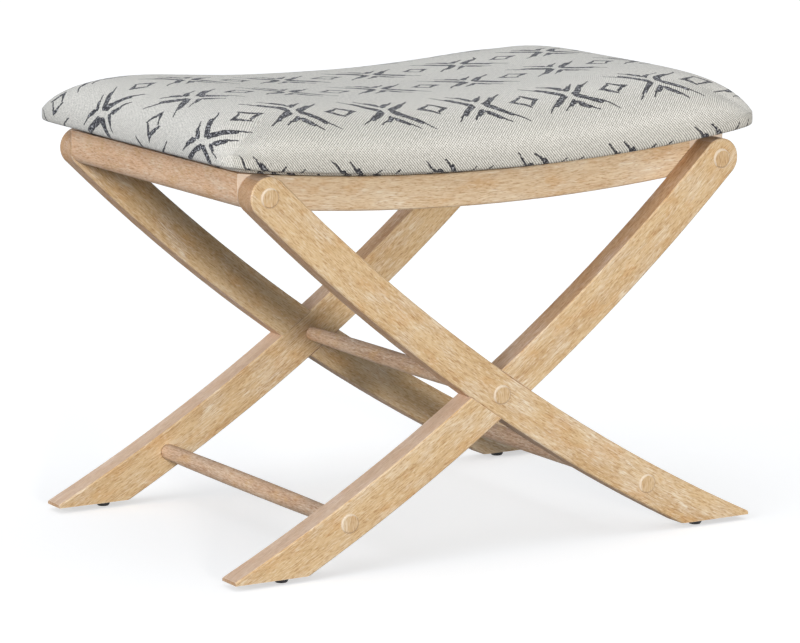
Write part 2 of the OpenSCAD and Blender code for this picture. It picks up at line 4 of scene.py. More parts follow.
import bpy
import numpy as np
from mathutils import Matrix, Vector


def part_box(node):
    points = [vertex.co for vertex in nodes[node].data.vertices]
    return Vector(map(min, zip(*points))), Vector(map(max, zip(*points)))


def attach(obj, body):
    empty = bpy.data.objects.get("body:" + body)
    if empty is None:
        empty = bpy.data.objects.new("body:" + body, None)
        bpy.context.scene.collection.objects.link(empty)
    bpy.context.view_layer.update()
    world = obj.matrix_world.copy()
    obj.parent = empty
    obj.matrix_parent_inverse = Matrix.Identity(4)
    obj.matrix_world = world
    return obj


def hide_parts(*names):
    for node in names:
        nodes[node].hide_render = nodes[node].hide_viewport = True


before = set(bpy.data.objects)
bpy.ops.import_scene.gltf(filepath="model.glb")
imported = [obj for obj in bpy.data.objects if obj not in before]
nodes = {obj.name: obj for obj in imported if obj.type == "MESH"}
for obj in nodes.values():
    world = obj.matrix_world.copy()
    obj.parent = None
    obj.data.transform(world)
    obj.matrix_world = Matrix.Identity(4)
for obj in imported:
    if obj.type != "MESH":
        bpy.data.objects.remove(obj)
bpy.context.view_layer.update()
bpy.ops.object.select_all(action="DESELECT")

# ---------------------------------------------------------------- Camera
# It stands off the bench's front left corner, a little above the seat, with a long lens. Its
# place was worked out from the legs' edges, the plugs, the rails and the glides.
camera_data = bpy.data.cameras.new("camera")
camera_data.sensor_width = 36
camera_data.lens = 185.4
camera_data.shift_x = 0.0036
camera_data.shift_y = -0.0289
camera = bpy.data.objects.new("camera", camera_data)
bpy.context.collection.objects.link(camera)
camera.location = (-2.32922, -3.93769, 1.06760)
camera.rotation_euler = (math.radians(79.86), 0, math.radians(-30.62))
bpy.context.scene.camera = camera


# ---------------------------------------------------------------- Legs
# Four bent hardwood boards, half lapped in pairs and pinned at the crossing, with round top ends
# and feet cut level. The wood is pale, limed and brushed: the white stays in the pores and along
# the eased edges.
def add(tree, kind, given=None, **settings):
    """Adds a node. given links or sets its inputs by name or number."""
    made = tree.nodes.new(kind)
    for key, value in settings.items():
        setattr(made, key, value)
    for key, value in (given or {}).items():
        if isinstance(value, bpy.types.NodeSocket):
            tree.links.new(value, made.inputs[key])
        else:
            made.inputs[key].default_value = value
    return made


def calc(tree, what, *values, clamp=False):
    made = add(tree, "ShaderNodeMath", dict(enumerate(values)), operation=what, use_clamp=clamp)
    return made.outputs[0]


def distance(tree, across, along):
    squares = [calc(tree, "POWER", leg, 2.0) for leg in (across, along)]
    return calc(tree, "SQRT", calc(tree, "ADD", *squares))


def centred(tree, value):
    """A value that runs from 0 to 1, moved to run from -0.5 to 0.5."""
    return calc(tree, "SUBTRACT", value, 0.5)


def total(tree, *terms):
    """The sum of values, each given with its share."""
    parts = [calc(tree, "MULTIPLY", value, share) for value, share in terms]
    summed = parts[0]
    for part in parts[1:]:
        summed = calc(tree, "ADD", summed, part)
    return summed


def mix_value(tree, share, low, high):
    return add(tree, "ShaderNodeMix", {0: share, 2: low, 3: high}, data_type="FLOAT").outputs[0]


def vector(tree, what, *values):
    made = add(tree, "ShaderNodeVectorMath", operation=what)
    for place, value in enumerate(values):
        socket = made.inputs["Scale"] if what == "SCALE" and place == 1 else made.inputs[place]
        if isinstance(value, bpy.types.NodeSocket):
            tree.links.new(value, socket)
        else:
            socket.default_value = value
    return made.outputs["Value" if what in ("LENGTH", "DOT_PRODUCT") else "Vector"]


def blend_colour(tree, share, low, high, how="MIX"):
    made = add(tree, "ShaderNodeMix", {0: share, 6: low, 7: high}, data_type="RGBA", blend_type=how)
    return made.outputs[2]


def ramp(tree, value, low, high, to_low=0.0, to_high=1.0):
    return add(tree, "ShaderNodeMapRange", {0: value, 1: low, 2: high, 3: to_low, 4: to_high},
               interpolation_type="SMOOTHSTEP").outputs[0]


def noise(tree, place, scale, detail=2.0, rough=0.5, out="Fac"):
    return add(tree, "ShaderNodeTexNoise",
               {"Vector": place, "Scale": scale, "Detail": detail, "Roughness": rough}).outputs[out]


def stretched(tree, place, waves, detail, rough):
    """Noise with its own number of waves along each axis."""
    return noise(tree, vector(tree, "MULTIPLY", place, waves), 1, detail, rough)


def stray(tree, place, scale, detail, rough, reach):
    """A wandering shift, up to half of reach each way."""
    drift = noise(tree, place, scale, detail, rough, "Color")
    return vector(tree, "SCALE", vector(tree, "SUBTRACT", drift, (0.5, 0.5, 0.5)), reach)


def split(tree, place):
    return add(tree, "ShaderNodeSeparateXYZ", {0: place}).outputs


def join(tree, x, y, z):
    return add(tree, "ShaderNodeCombineXYZ", {0: x, 1: y, 2: z}).outputs[0]


def object_place(tree):
    return add(tree, "ShaderNodeTexCoord").outputs["Object"]


def new_group(name, takes, gives):
    """A node group with named inputs (name, kind, value) and outputs (name, kind)."""
    tree = bpy.data.node_groups.new(name, "ShaderNodeTree")
    for label, kind, value in takes:
        socket = tree.interface.new_socket(label, in_out="INPUT", socket_type="NodeSocket" + kind)
        if value is not None:
            socket.default_value = value
    for label, kind in gives:
        tree.interface.new_socket(label, in_out="OUTPUT", socket_type="NodeSocket" + kind)
    return tree, tree.nodes.new("NodeGroupInput").outputs, tree.nodes.new("NodeGroupOutput").inputs


def use(tree, group, **given):
    made = tree.nodes.new("ShaderNodeGroup")
    made.node_tree = group
    for key, value in given.items():
        socket = made.inputs[key.replace("_", " ")]
        if isinstance(value, bpy.types.NodeSocket):
            tree.links.new(value, socket)
        else:
            socket.default_value = value
    return made.outputs


def shade(r, g, b):
    """A colour as it looks, from 0 to 255, in the linear numbers that a shader takes."""
    return tuple(pow((c / 255 + 0.055) / 1.055, 2.4) for c in (r, g, b)) + (1.0,)


def new_material(name, roughness, specular, sheen=0.0, metallic=0.0):
    made = bpy.data.materials.new(name)
    made.use_nodes = True
    tree = made.node_tree
    shader = tree.nodes["Principled BSDF"]
    shader.inputs["Roughness"].default_value = roughness
    shader.inputs["Specular IOR Level"].default_value = specular
    shader.inputs["Sheen Weight"].default_value = sheen
    shader.inputs["Metallic"].default_value = metallic
    return made, tree, shader


def raise_surface(tree, shader, height, distance):
    bump = add(tree, "ShaderNodeBump", {"Height": height, "Distance": distance, "Strength": 1.0})
    tree.links.new(bump.outputs[0], shader.inputs["Normal"])


def finish_nodes(material, *names):
    for name in names:
        nodes[name].material_slots[0].material = material


# Limed grain: X runs along the grain, Y and Z across it, in metres. The triples are waves per
# metre, from the broad growth bands to the fine flecks.
grain, takes, gives = new_group(
    "limed_grain",
    [("Place", "Vector", None), ("Pale", "Color", shade(224, 197, 160)),
     ("Deep", "Color", shade(188, 150, 108)), ("Lime", "Float", 0.5), ("Seed", "Float", 0.0)],
    [("Colour", "Color"), ("Roughness", "Float"), ("Height", "Float")])
seeded = vector(grain, "ADD", takes["Place"], join(grain, takes["Seed"], takes["Seed"], takes["Seed"]))
flow = vector(grain, "ADD", seeded, stray(grain, seeded, 14, 2, 0.5, 0.005))
growth = stretched(grain, flow, (5, 62, 50), 3, 0.5)
figure = stretched(grain, flow, (15, 135, 135), 3, 0.6)
streaks = stretched(grain, flow, (60, 640, 640), 2, 0.6)
flecks = stretched(grain, flow, (150, 900, 900), 1, 0.5)
patches = stretched(grain, seeded, (20, 42, 42), 3, 0.6)
clouds = stretched(grain, seeded, (34, 60, 60), 2, 0.5)
tone = total(grain, (growth, 0.30), (figure, 0.34), (streaks, 0.36))
body = blend_colour(grain, ramp(grain, tone, 0.33, 0.63), takes["Deep"], takes["Pale"])
golden = ramp(grain, clouds, 0.52, 0.70, 0.0, 0.5)
body = blend_colour(grain, golden, body, shade(208, 164, 112))
haze = calc(grain, "MULTIPLY", ramp(grain, patches, 0.45, 0.70), takes["Lime"])
body = blend_colour(grain, calc(grain, "MULTIPLY", haze, 0.45), body, shade(232, 216, 194))
lime_streaks = calc(grain, "MULTIPLY", ramp(grain, streaks, 0.52, 0.66), haze)
body = blend_colour(grain, lime_streaks, body, shade(241, 231, 214))
pores = ramp(grain, flecks, 0.30, 0.46, 0.50, 0.0)
body = blend_colour(grain, pores, body, shade(196, 160, 122), "MULTIPLY")
bright = ramp(grain, flecks, 0.56, 0.70, 0.0, 0.36)
body = blend_colour(grain, bright, body, shade(240, 226, 202))
grain.links.new(body, gives["Colour"])
grain.links.new(ramp(grain, streaks, 0.3, 0.7, 0.72, 0.55), gives["Roughness"])
grain.links.new(total(grain, (streaks, 0.6), (flecks, 0.4)), gives["Height"])

# Rubbed edges: a thin pale line along every edge, partly lime and sanding worn through, partly a painted
# highlight on the eased edges
edges, takes, gives = new_group("rubbed_edge_and_highlight", [("Width", "Float", 0.0012), ("Place", "Vector", None)],
                                [("Mask", "Float")])
rounded = add(edges, "ShaderNodeBevel", {"Radius": takes["Width"]}, samples=6).outputs[0]
turn = vector(edges, "DOT_PRODUCT", rounded, add(edges, "ShaderNodeNewGeometry").outputs["True Normal"])
worn = noise(edges, takes["Place"], 90, 2, 0.6)
at_edge = ramp(edges, turn, 0.97, 0.86)
edges.links.new(calc(edges, "MULTIPLY", at_edge, ramp(edges, worn, 0.3, 0.6, 0.35, 1.0)), gives["Mask"])

# Bent grain: the place along and across an arc in the XZ plane
bent, takes, gives = new_group(
    "bent_grain", [("Place", "Vector", None), ("Centre", "Vector", None), ("Radius", "Float", 1.0)],
    [("Along", "Vector")])
offset = split(bent, vector(bent, "SUBTRACT", takes["Place"], takes["Centre"]))
outwards = calc(bent, "SUBTRACT", distance(bent, offset[0], offset[2]), takes["Radius"])
below = calc(bent, "MULTIPLY", offset[2], -1.0)
swing = calc(bent, "MULTIPLY", calc(bent, "ARCTAN2", offset[0], below), takes["Radius"])
bent.links.new(join(bent, swing, outwards, offset[1]), gives["Along"])

# Glue lines round the plugs, on the outer faces of legs and plugs: a pale lime filling, widened at the
# upper left as a painted highlight, and a thin dark gap, made darker at the lower right as painted
# shade.
# The plugs' places are X and Z, and stand for the left side too.
PLUG_R = 0.0104
PLUG_PLACES = ((0.286, 0.416), (0.191, 0.0575), (0.0, 0.178))
OUTER_FACE_Y = 0.2105
FILL_OUT = 0.0008
FILL_IN = 0.0024
GAP_AT = PLUG_R + 0.0002
GAP_HALF_W = 0.0005
plug_rings, takes, gives = new_group("plug_rings", [("Place", "Vector", None)],
                                     [("Pale", "Float"), ("Shaded_gap", "Float")])
parts = split(plug_rings, takes["Place"])
beside = calc(plug_rings, "ABSOLUTE", parts[0])
nearest, slope = None, None
for peg_x, peg_z in PLUG_PLACES:
    off_x = calc(plug_rings, "SUBTRACT", beside, peg_x)
    off_z = calc(plug_rings, "SUBTRACT", parts[2], peg_z)
    reach = distance(plug_rings, off_x, off_z)
    true_x = parts[0]
    if peg_x:
        true_x = calc(plug_rings, "MULTIPLY", off_x, calc(plug_rings, "SIGN", parts[0]))
    lean = calc(plug_rings, "SUBTRACT", off_z, true_x)
    if nearest is None:
        nearest, slope = reach, lean
    else:
        closer = calc(plug_rings, "LESS_THAN", reach, nearest)
        slope = mix_value(plug_rings, closer, slope, lean)
        nearest = calc(plug_rings, "MINIMUM", nearest, reach)
outer = calc(plug_rings, "GREATER_THAN", calc(plug_rings, "ABSOLUTE", parts[1]), OUTER_FACE_Y)
# Painted highlight: upper grows towards the upper left of each plug, where the lime line widens
upper = ramp(plug_rings, slope, -0.008, 0.012)
ragged = noise(plug_rings, takes["Place"], 420, 2, 0.6)
past_plug = calc(plug_rings, "SUBTRACT", nearest, PLUG_R)
width = calc(plug_rings, "MULTIPLY", upper, calc(plug_rings, "ADD", ragged, 0.5))
filled_out = calc(plug_rings, "SUBTRACT", calc(plug_rings, "MULTIPLY", width, FILL_OUT), past_plug)
filled_in = calc(plug_rings, "ADD", calc(plug_rings, "MULTIPLY", width, FILL_IN), past_plug)
filled = calc(plug_rings, "MINIMUM", filled_out, filled_in)
lime_and_highlight_line = ramp(plug_rings, filled, 0.0, 0.0005, 0.0, 0.5)
plug_rings.links.new(calc(plug_rings, "MULTIPLY", lime_and_highlight_line, outer), gives["Pale"])
off_gap = calc(plug_rings, "ABSOLUTE", calc(plug_rings, "SUBTRACT", nearest, GAP_AT))
gap = ramp(plug_rings, calc(plug_rings, "SUBTRACT", GAP_HALF_W, off_gap), 0.0, 0.0003)
# Painted shade: lower makes the dark gap strongest at the lower right of each plug
lower = ramp(plug_rings, slope, 0.006, -0.010, 0.15, 0.8)
plug_rings.links.new(calc(plug_rings, "MULTIPLY", calc(plug_rings, "MULTIPLY", gap, outer), lower),
                     gives["Shaded_gap"])


def wood(name, place_of, pale, deep, lime, seed, edge=0.8, narrow_side_shading=False, ends=0.0, rings=False):
    """A limed wood whose grain follows the coordinates that place_of makes. edge is how strong the pale
    line along its edges is, partly worn lime and partly a painted highlight. narrow_side_shading gives
    the sides of the boards a pinker tone with painted shade, and a painted highlight on the parts that
    face up steeply. ends whitens the end grain at front and back. rings adds the plugs' glue lines, with
    a painted highlight at their upper left and painted shade at their lower right."""
    made, tree, shader = new_material(name, 0.62, 0.35)
    place = place_of(tree)
    look = use(tree, grain, Place=place, Pale=pale, Deep=deep, Lime=lime, Seed=seed)
    colour = look["Colour"]
    normal = split(tree, add(tree, "ShaderNodeNewGeometry").outputs["True Normal"])
    facing = calc(tree, "ABSOLUTE", normal[1])
    if ends:
        end_grain = ramp(tree, facing, 0.6, 0.9, 0.0, ends)
        colour = blend_colour(tree, end_grain, colour, shade(232, 221, 208))
    if narrow_side_shading:
        # Painted shade: the sides of the boards are made darker and a little pinker, and painted light:
        # those that face up steeply are whitened
        side_shade = ramp(tree, facing, 0.75, 0.35)
        upward_highlight = ramp(tree, normal[2], 0.785, 0.835, 0.0, 0.30)
        colour = blend_colour(tree, side_shade, colour, shade(240, 226, 224), "MULTIPLY")
        colour = blend_colour(tree, upward_highlight, colour, shade(240, 222, 206))
    if rings:
        glued = use(tree, plug_rings, Place=object_place(tree))
        # The glue lines' pale is widened at the upper left as a painted highlight, and their dark gap is
        # deepened at the lower right as painted shade
        colour = blend_colour(tree, glued["Pale"], colour, shade(243, 234, 218))
        colour = blend_colour(tree, glued["Shaded_gap"], colour, shade(150, 112, 78))
    # The pale edge line is partly worn lime and partly a painted highlight where the eased edges catch
    # the light
    rubbed_and_lit = use(tree, edges, Place=place)["Mask"]
    colour = blend_colour(tree, calc(tree, "MULTIPLY", rubbed_and_lit, edge), colour, shade(238, 222, 202))
    tree.links.new(colour, shader.inputs["Base Color"])
    tree.links.new(look["Roughness"], shader.inputs["Roughness"])
    raise_surface(tree, shader, look["Height"], 0.0004)
    return made


LEG_BEND_R = 2.280
LEG_CENTRE_X = 1.3104
LEG_CENTRE_Z = 2.0436


def leg_place(side):
    def place_of(tree):
        return use(tree, bent, Place=object_place(tree), Radius=LEG_BEND_R,
                   Centre=(side * LEG_CENTRE_X, 0, LEG_CENTRE_Z))["Along"]
    return place_of


LEG_PALE = shade(222, 193, 151)
LEG_DEEP = shade(194, 157, 112)
finish_nodes(wood("left_leg_wood", leg_place(1), LEG_PALE, LEG_DEEP, 0.7, 0.0,
                  narrow_side_shading=True, rings=True), "front_left_leg", "back_left_leg")
finish_nodes(wood("right_leg_wood", leg_place(-1), LEG_PALE, LEG_DEEP, 0.7, 3.7,
                  narrow_side_shading=True, rings=True), "front_right_leg", "back_right_leg")


# ---------------------------------------------------------------- Stretchers
# Three turned rails between the X frames, a little slimmer at their ends, with stub tenons
# glued into the legs. Their grain runs from front to back.
def straight_place(tree):
    parts = split(tree, object_place(tree))
    return join(tree, parts[1], parts[0], parts[2])


STRETCHER_PALE = shade(220, 186, 154)
STRETCHER_DEEP = shade(178, 139, 110)
finish_nodes(wood("stretcher_wood", straight_place, STRETCHER_PALE, STRETCHER_DEEP, 0.35, 1.3),
             "centre_stretcher", "left_stretcher", "right_stretcher")

# ---------------------------------------------------------------- Steel fasteners
# Zinc-plated screws, bolts, washers, barrel nuts and nails. They are driven from outside,
# behind the plugs, or from below, and the plating is dull with faint crystal blotches.
steel, tree, shader = new_material("zinc_steel", 0.38, 0.5, 0.0, 1.0)
plating = noise(tree, object_place(tree), 900, 3, 0.6)
zinc = blend_colour(tree, ramp(tree, plating, 0.35, 0.65), shade(176, 178, 182), shade(206, 207, 208))
tree.links.new(zinc, shader.inputs["Base Color"])
tree.links.new(ramp(tree, plating, 0.3, 0.7, 0.30, 0.48), shader.inputs["Roughness"])
raise_surface(tree, shader, plating, 0.00005)
finish_nodes(steel, "stretcher_screws", "corner_block_screws", "leg_bolts", "leg_bolt_washers",
             "barrel_nuts", "glide_nails", "seat_screws")


# ---------------------------------------------------------------- Plugs
# Bevelled wooden plugs glued over the fasteners, standing a little proud of the legs.
# Their face grain is set roughly upright.
def plug_place(tree):
    parts = split(tree, object_place(tree))
    return join(tree, parts[2], parts[0], parts[1])


finish_nodes(wood("plug_wood", plug_place, shade(216, 187, 147), shade(200, 165, 122), 0.3, 5.1,
                  edge=0.0, rings=True), "front_plugs", "back_plugs")

# ---------------------------------------------------------------- Seat rails
# Front and back rails are sawn to the saddle curve and tenoned into the thick end rails, whose
# lower outer edge is rounded. All four are limed like the legs.
SADDLE_CENTRE_Z = 2.783
RAIL_R = 2.38175


def saddle_place(tree):
    return use(tree, bent, Place=object_place(tree), Radius=RAIL_R,
               Centre=(0, 0, SADDLE_CENTRE_Z))["Along"]


finish_nodes(wood("rail_wood", saddle_place, shade(230, 206, 173), shade(207, 175, 138), 0.85, 8.2),
             "front_rail", "back_rail")
finish_nodes(wood("end_rail_wood", straight_place, shade(233, 193, 156), shade(209, 166, 130), 0.45, 6.4,
                  ends=0.7), "left_end_rail", "right_end_rail")

# ---------------------------------------------------------------- Corner blocks
# Sawn blocks glued and screwed in the corners of the seat frame, left without a finish. The
# seat screws go up through them.
finish_nodes(wood("block_wood", straight_place, shade(214, 188, 152), shade(176, 142, 104), 0.1, 2.6,
                  edge=0.3), "corner_blocks")

# ---------------------------------------------------------------- Glides
# Black glides of moulded plastic under the level feet, with a fine mould texture. Each is held
# by a nail through its middle.
plastic, tree, shader = new_material("glide_plastic", 0.5, 0.45)
grit = noise(tree, object_place(tree), 2600, 2, 0.5)
tree.links.new(blend_colour(tree, ramp(tree, grit, 0.3, 0.7), shade(26, 26, 28), shade(38, 38, 40)),
               shader.inputs["Base Color"])
tree.links.new(ramp(tree, grit, 0.3, 0.7, 0.42, 0.6), shader.inputs["Roughness"])
raise_surface(tree, shader, grit, 0.00006)
finish_nodes(plastic, "glide_pads")

# ---------------------------------------------------------------- Seat board
# Plywood pressed to the saddle curve and screwed down on the corner blocks. Its edge shows the
# layers as light and dark bands.
PLY_T = 0.0024
plywood, tree, shader = new_material("seat_plywood", 0.7, 0.3)
place = saddle_place(tree)
layer = calc(tree, "PINGPONG", split(tree, place)[1], PLY_T)
look = use(tree, grain, Place=place, Pale=shade(214, 184, 146), Deep=shade(186, 146, 104),
           Lime=0.0, Seed=9.0)
dark_layer = ramp(tree, layer, PLY_T * 0.45, PLY_T * 0.55, 0.0, 0.3)
tree.links.new(blend_colour(tree, dark_layer, look["Colour"], shade(150, 108, 72), "MULTIPLY"),
               shader.inputs["Base Color"])
raise_surface(tree, shader, look["Height"], 0.0003)
finish_nodes(plywood, "seat_board")

# ---------------------------------------------------------------- Cushion
# Crowned seat foam and wadding under one drawn-down cloth: it runs over the front and the ends,
# is folded at the corners and turned under the seat board. The cloth is a heavy cream and grey
# twill with a drawn charcoal lattice of brush strokes.
CUSHION_CELLS = (76, 52)
TINY = 1e-9
# The four shares say how square the plan, the crown, the lower edge and the board are. The ends
# rise, and the stuffing leans a little to one end and dips beside the middle.
PLAN_SHARE = 16
CROWN_SHARE = 5
UNDER_UP = 0.0066
LIP_H = 0.0084
LIP_IN = 0.009
CROWN_H = 0.064
END_RISE = 0.010
LEAN = 0.002
DIP = 0.0024
DIP_AT, DIP_W = -0.45, 0.22
LIP_SHARE = 3.5
RAIL_TOP_R = 2.3635
BOARD_SHARE = 40
CORNER_SOFT = 0.04
UNDER_HALF = (0.3058, 0.1933)
HEM_W = 0.024
CLOTH_T = 0.0015
FOAM_BASE = 0.0138
LIP_RINGS = 4
FLAT_RINGS = 3
RING_STEP = 0.1
FOLD_FROM = 0.78
nose_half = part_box("cushion_cover")[1]


def saddle_z(x, up):
    return SADDLE_CENTRE_Z - np.sqrt((RAIL_TOP_R - up) ** 2 - x ** 2)


def lines(cells):
    return np.sin(np.pi * (np.arange(cells + 1) / cells - 0.5))


def pulled(u, v, share):
    """The square grid drawn in to a rounded plan."""
    across, along = np.abs(u), np.abs(v)
    m = np.maximum(np.maximum(across, along), TINY)
    shrink = np.maximum((across / m) ** share + (along / m) ** share, 1) ** (-1 / share)
    return u * shrink, v * shrink


cells_x, cells_y = CUSHION_CELLS
grid_u, grid_v = np.meshgrid(lines(cells_x), lines(cells_y))
grid_u, grid_v = grid_u.ravel(), grid_v.ravel()
plan_u, plan_v = pulled(grid_u, grid_v, PLAN_SHARE)
high = np.maximum(np.maximum(np.abs(plan_u), np.abs(plan_v)), TINY)
low = np.minimum(np.abs(plan_u), np.abs(plan_v))
corner = np.maximum(0, 1 - np.hypot(1 - low / high, CORNER_SOFT))
spread = (1 + corner ** PLAN_SHARE) ** (1 / PLAN_SHARE)
fullness = np.sqrt(np.maximum(0, 1 - np.abs(plan_u * spread) ** CROWN_SHARE)
                   * np.maximum(0, 1 - np.abs(plan_v * spread) ** CROWN_SHARE))
top_x = nose_half.x * plan_u
sunk = LEAN * plan_u - DIP * np.exp(-((plan_u - DIP_AT) / DIP_W) ** 2)
top_up = UNDER_UP + LIP_H + (CROWN_H + END_RISE * plan_u ** 2 + sunk) * fullness
rows = [np.column_stack([top_x, nose_half.y * plan_v, saddle_z(top_x, top_up)])]

rim = ([(i, 0) for i in range(cells_x)] + [(cells_x, j) for j in range(cells_y)]
       + [(i, cells_y) for i in range(cells_x, 0, -1)] + [(0, j) for j in range(cells_y, 0, -1)])
rim_ids = np.array([j * (cells_x + 1) + i for i, j in rim])
board_u, board_v = pulled(grid_u, grid_v, BOARD_SHARE)


def level_ring(half, up, share_of_plan):
    ring_u, ring_v = [plan * share_of_plan + board * (1 - share_of_plan) for plan, board in
                      ((plan_u[rim_ids], board_u[rim_ids]), (plan_v[rim_ids], board_v[rim_ids]))]
    return np.column_stack([half[0] * ring_u, half[1] * ring_v, saddle_z(half[0] * ring_u, up)])


# Rings round the lower edge, along the flat underside, down the board's edge and under it: the
# half sizes, the height above the rails' arc, and how far the plan is the rounded one
wall_half = [h + CLOTH_T for h in UNDER_HALF]
flat_half = [h - LIP_IN for h in (nose_half.x, nose_half.y)]
ring_places = []
for k in range(1, LIP_RINGS + 1):
    angle = math.pi / 2 * k / LIP_RINGS
    inset = LIP_IN * (1 - abs(math.cos(angle)) ** (2 / LIP_SHARE))
    ring_places.append(([nose_half.x - inset, nose_half.y - inset],
                        UNDER_UP + LIP_H * (1 - math.sin(angle) ** (2 / LIP_SHARE)),
                        1 - RING_STEP * k))
for k in range(1, FLAT_RINGS + 1):
    share = k / FLAT_RINGS
    ring_places.append(([f * (1 - share) + w * share for f, w in zip(flat_half, wall_half)],
                        UNDER_UP, (1 - RING_STEP * LIP_RINGS) * (1 - share)))
ring_places += [(wall_half, UNDER_UP * 0.5, 0.0), (wall_half, 0.0, 0.0)]
under_n = len(ring_places)
hem_half = [h - HEM_W for h in UNDER_HALF]
ring_places += [(hem_half, 0.0, 0.0), (hem_half, CLOTH_T, 0.0), (UNDER_HALF, CLOTH_T, 0.0),
                (UNDER_HALF, FOAM_BASE, 0.0)]
rows += [level_ring(*ring_place) for ring_place in ring_places]
base_x = UNDER_HALF[0] * board_u
rows.append(np.column_stack([base_x, UNDER_HALF[1] * board_v, saddle_z(base_x, FOAM_BASE)]))
points = np.vstack(rows)

grid_n, rim_n = len(grid_u), len(rim)
ring_n = len(ring_places)


def grid_faces(first, flip):
    faces = []
    for j in range(cells_y):
        for i in range(cells_x):
            a = first + j * (cells_x + 1) + i
            quad = (a, a + 1, a + cells_x + 2, a + cells_x + 1)
            faces.append(quad[::-1] if flip else quad)
    return faces


loops = [rim_ids] + [grid_n + k * rim_n + np.arange(rim_n) for k in range(ring_n)]
loops.append(grid_n + ring_n * rim_n + rim_ids)
faces = grid_faces(0, False) + grid_faces(grid_n + ring_n * rim_n, True)
for upper, lower in zip(loops, loops[1:]):
    faces += [(int(lower[k]), int(lower[(k + 1) % rim_n]), int(upper[(k + 1) % rim_n]), int(upper[k]))
              for k in range(rim_n)]
cushion_mesh = bpy.data.meshes.new("cushion")
cushion_mesh.from_pydata(points.tolist(), [], [tuple(int(n) for n in f) for f in faces])
cushion = bpy.data.objects.new("cushion", cushion_mesh)
bpy.context.collection.objects.link(cushion)


# Places on the flat cloth, in millimetres. Over the front and back the cloth hangs straight down
# from the top, and over the ends likewise, and the two meet in a fold at each corner.
MM = 1000


def run_length(profile):
    steps = np.linalg.norm(np.diff(profile, axis=0), axis=1)
    return np.concatenate([[0], np.cumsum(steps)])


middle_row = (cells_y // 2) * (cells_x + 1)
middle_column = cells_x // 2
x_run = run_length(points[middle_row + middle_column:middle_row + cells_x + 1])
y_run = run_length(points[middle_column:grid_n:cells_x + 1][cells_y // 2:])
x_lines, y_lines = lines(cells_x)[cells_x // 2:], lines(cells_y)[cells_y // 2:]


def wrapped(share, half_lines, run):
    return np.sign(share) * np.interp(np.abs(share), half_lines, run)


def straight(share, half_lines, run, half):
    start = np.interp(FOLD_FROM, half_lines, run)
    past = np.maximum(0, np.abs(share) - FOLD_FROM) * half
    return np.sign(share) * (np.minimum(np.interp(np.abs(share), half_lines, run), start) + past)


all_u, all_v = [np.concatenate([grid] + [grid[rim_ids]] * ring_n + [grid]) for grid in (grid_u, grid_v)]
past_nose = np.zeros(len(points))
travel, last_place = 0.0, (nose_half.y, UNDER_UP + LIP_H)
for k, (half, up, _) in enumerate(ring_places[:under_n]):
    travel += math.hypot(last_place[0] - half[1], last_place[1] - up)
    past_nose[grid_n + k * rim_n:grid_n + (k + 1) * rim_n] = travel
    last_place = (half[1], up)
past_nose[grid_n + under_n * rim_n:] = travel
front_place = np.column_stack([straight(all_u, x_lines, x_run, nose_half.x),
                               wrapped(all_v, y_lines, y_run) + np.sign(all_v) * past_nose]) * MM
end_place = np.column_stack([wrapped(all_u, x_lines, x_run) + np.sign(all_u) * past_nose,
                             straight(all_v, y_lines, y_run, nose_half.y)]) * MM
for name, place in (("cloth_front", front_place), ("cloth_end", end_place)):
    layer = cushion_mesh.attributes.new(name, "FLOAT_VECTOR", "POINT")
    flat_places = np.column_stack([place, np.zeros(len(place))])
    layer.data.foreach_set("vector", flat_places.astype(np.float32).ravel())
layer = cushion_mesh.attributes.new("cloth_fold", "FLOAT", "POINT")
layer.data.foreach_set("value", (np.abs(all_u) - np.abs(all_v)).astype(np.float32))
cushion_mesh.update()
bpy.ops.object.select_all(action="DESELECT")
cushion.select_set(True)
bpy.context.view_layer.objects.active = cushion

# The cover is drawn in along its normals. The move is smoothed, eased off below EASE_OFF and
# faded out towards the lower edge, and then the mesh is subdivided once.
DRAWN_IN = 0.0015
EASE_OFF = 0.004
EDGE_FADE = 0.12
SMOOTHINGS = 3
normals = np.zeros(len(points) * 3)
cushion_mesh.vertices.foreach_get("normal", normals)
free = np.zeros(len(points))
free[:grid_n] = np.clip((1 - high) / EDGE_FADE, 0, 1)
move = -normals.reshape(-1, 3) * (free * DRAWN_IN)[:, None]
edge_ends = np.zeros(len(cushion_mesh.edges) * 2, dtype=np.int64)
cushion_mesh.edges.foreach_get("vertices", edge_ends)
edge_ends = edge_ends.reshape(-1, 2)
for _ in range(SMOOTHINGS):
    summed, count = np.zeros_like(move), np.zeros(len(move))
    for a, b in ((0, 1), (1, 0)):
        np.add.at(summed, edge_ends[:, a], move[edge_ends[:, b]])
        np.add.at(count, edge_ends[:, a], 1)
    move = move * 0.5 + summed / count[:, None] * 0.5
length = np.linalg.norm(move, axis=1)
eased = EASE_OFF * np.tanh(length / EASE_OFF) / np.maximum(length, TINY)
cushion_mesh.vertices.foreach_set("co", (points + move * (eased * free)[:, None]).ravel())
cushion_mesh.update()
finer = cushion.modifiers.new("finer", "SUBSURF")
finer.levels = finer.render_levels = 1
bpy.ops.object.modifier_apply(modifier="finer")
bpy.ops.object.shade_smooth()

# A brush stroke: how far a point lies inside a tapered stroke from Start to End, in millimetres
stroke, takes, gives = new_group(
    "brush_stroke", [("Place", "Vector", None), ("Start", "Vector", None), ("End", "Vector", None),
                     ("First", "Float", 3.0), ("Last", "Float", 0.6)], [("Inside", "Float")])
from_start = vector(stroke, "SUBTRACT", takes["Place"], takes["Start"])
whole = vector(stroke, "SUBTRACT", takes["End"], takes["Start"])
share = calc(stroke, "DIVIDE", vector(stroke, "DOT_PRODUCT", from_start, whole),
             vector(stroke, "DOT_PRODUCT", whole, whole), clamp=True)
beside_line = vector(stroke, "SUBTRACT", from_start, vector(stroke, "SCALE", whole, share))
away = vector(stroke, "LENGTH", beside_line)
taper = calc(stroke, "MULTIPLY", share, calc(stroke, "SUBTRACT", takes["Last"], takes["First"]))
width = calc(stroke, "ADD", takes["First"], taper)
stroke.links.new(calc(stroke, "SUBTRACT", width, away), gives["Inside"])

